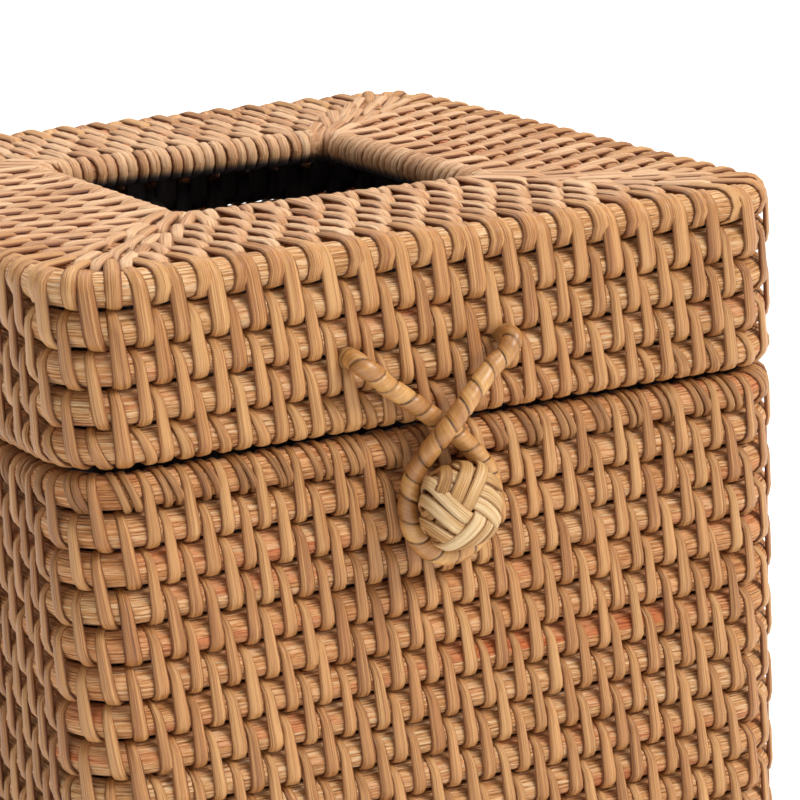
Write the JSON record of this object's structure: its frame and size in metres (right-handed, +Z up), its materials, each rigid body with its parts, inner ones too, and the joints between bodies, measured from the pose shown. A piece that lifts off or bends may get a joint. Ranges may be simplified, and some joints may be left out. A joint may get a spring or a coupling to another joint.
{
  "type": "tissue box cover",
  "caption": "Square woven rattan tissue box cover with a lashed hinged lid, a square opening on top and a loop over a knot at the front.",
  "frame": {"origin": "middle of the foot's flat underside, at the middle of the square body", "axes": "+Z up, -Y to the front with the loop and knot, +X to the right seen from the front"},
  "size_m": [0.146, 0.1585, 0.1498],
  "materials": {
    "rattan_core": "natural rattan core, satin",
    "rattan_peel": "rattan peel, slightly glossy skin",
    "knot_cane": "pale plaited cane, satin",
    "loop_cane": "cane cord wrapped with a strip, satin"
  },
  "bodies": {
    "base": {"foot_rod": "rattan_core", "foot_wrapping": "rattan_peel", "floor_rods": "rattan_core", "floor_binding": "rattan_peel", "base_course_1": "rattan_core", "base_course_2": "rattan_core", "base_course_3": "rattan_core", "base_course_4": "rattan_core", "base_course_5": "rattan_core", "base_course_6": "rattan_core", "base_course_7": "rattan_core", "base_course_8": "rattan_core", "base_course_9": "rattan_core", "base_course_10": "rattan_core", "base_course_11": "rattan_core", "base_course_12": "rattan_core", "base_course_13": "rattan_core", "base_course_14": "rattan_core", "base_course_15": "rattan_core", "base_course_16": "rattan_core", "base_binding_front": "rattan_peel", "base_binding_right": "rattan_peel", "base_binding_back": "rattan_peel", "base_binding_left": "rattan_peel", "knot_neck": "knot_cane", "knot_button": "knot_cane"},
    "hinge_lashings": {"hinge_lashing_left": "rattan_peel", "hinge_lashing_right": "rattan_peel"},
    "lid": {"lid_course_1": "rattan_core", "lid_course_2": "rattan_core", "lid_course_3": "rattan_core", "lid_course_4": "rattan_core", "lid_course_5": "rattan_core", "top_course_1": "rattan_core", "top_course_2": "rattan_core", "top_course_3": "rattan_core", "top_course_4": "rattan_core", "top_course_5": "rattan_core", "rim_rod": "rattan_core", "rim_wrapping": "rattan_peel", "lid_binding_front": "rattan_peel", "lid_binding_right": "rattan_peel", "lid_binding_back": "rattan_peel", "lid_binding_left": "rattan_peel", "loop_tails": "loop_cane"},
    "closure_loop": {"closure_loop": "loop_cane"}
  },
  "joints": [
    {"name": "lashing_hinge", "type": "hinge", "parent": "base", "child": "hinge_lashings", "pos_m": [0, 0.0692, 0.11145], "axis": [-1, 0, 0], "range_deg": [0, 90]},
    {"name": "lid_hinge", "type": "hinge", "parent": "hinge_lashings", "child": "lid", "pos_m": [0, 0.0692, 0.11925], "axis": [-1, 0, 0], "range_deg": [0, 90]},
    {"name": "loop_swing", "type": "hinge", "parent": "lid", "child": "closure_loop", "pos_m": [0, -0.073, 0.12927], "axis": [-1, 0, 0], "range_deg": [0, 110], "deforming": ["closure_loop"]}
  ],
  "couplings": [
    {"joint": "lid_hinge", "follows": "lashing_hinge", "ratio": 1}
  ]
}
